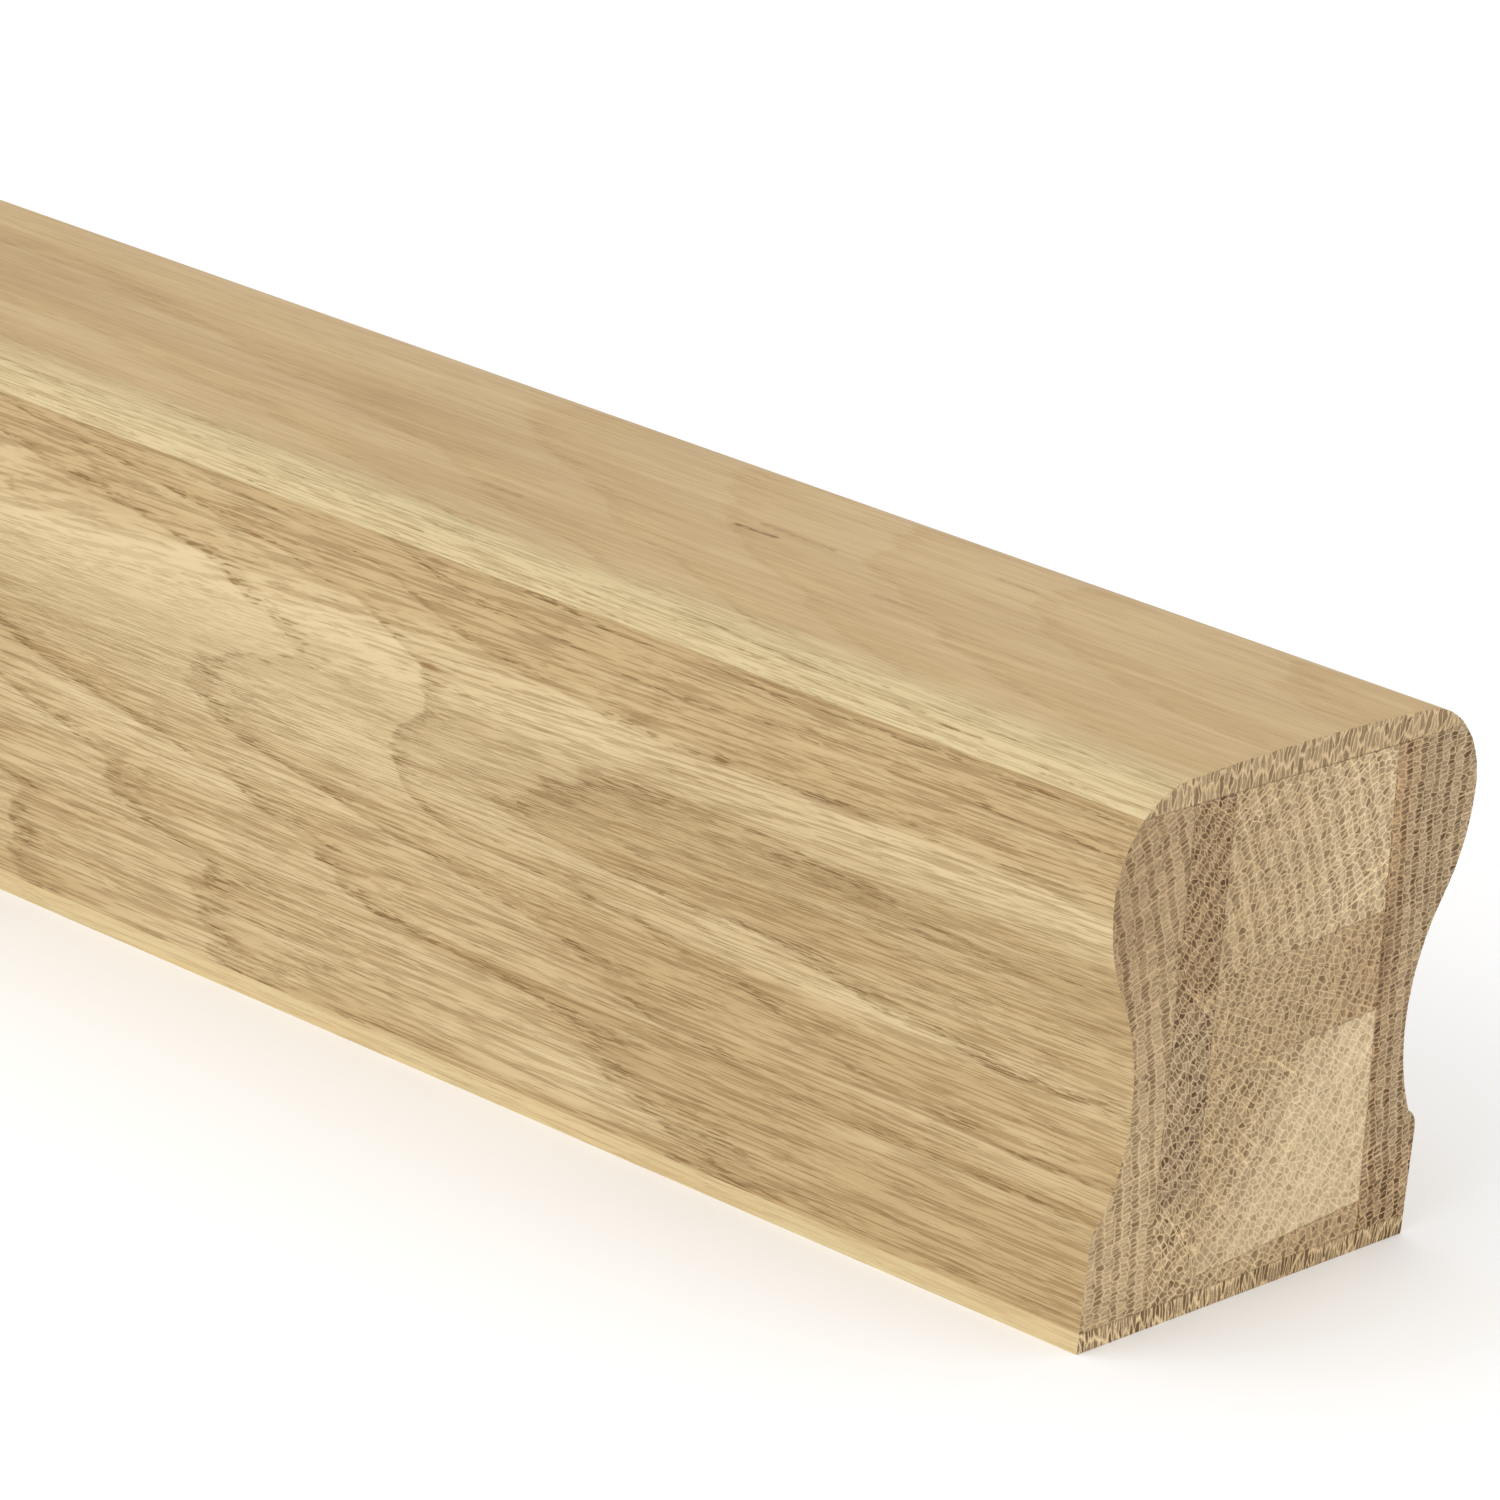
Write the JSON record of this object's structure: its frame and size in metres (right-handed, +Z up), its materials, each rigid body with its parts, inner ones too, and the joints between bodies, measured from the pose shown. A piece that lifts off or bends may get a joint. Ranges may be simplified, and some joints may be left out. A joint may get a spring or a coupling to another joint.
{
  "type": "handrail",
  "caption": "Moulded oak handrail of one constant section: rounded crown, hollow waist and square base, glued up from staves and sawn off square at both ends.",
  "frame": {"origin": "middle of the underside, half way along the rail", "axes": "+X along the rail towards the sawn end that the picture shows, +Y across it to the right as seen from that end, +Z up from the flat underside to the crown"},
  "size_m": [2.4, 0.059, 0.0599],
  "materials": {
    "oak_top": "planed and sanded, bare",
    "oak_side": "planed and sanded, bare",
    "oak_core": "sawn end grain, bare",
    "oak_base": "planed, bare"
  },
  "bodies": {
    "root": {"top_lamella": "oak_top", "left_stave": "oak_side", "core_left_strip": "oak_core", "core_upper_block": "oak_core", "core_block": "oak_core", "core_lower_block": "oak_core", "core_foot_strip": "oak_core", "right_stave": "oak_side", "bottom_lamella": "oak_base"}
  },
  "joints": []
}
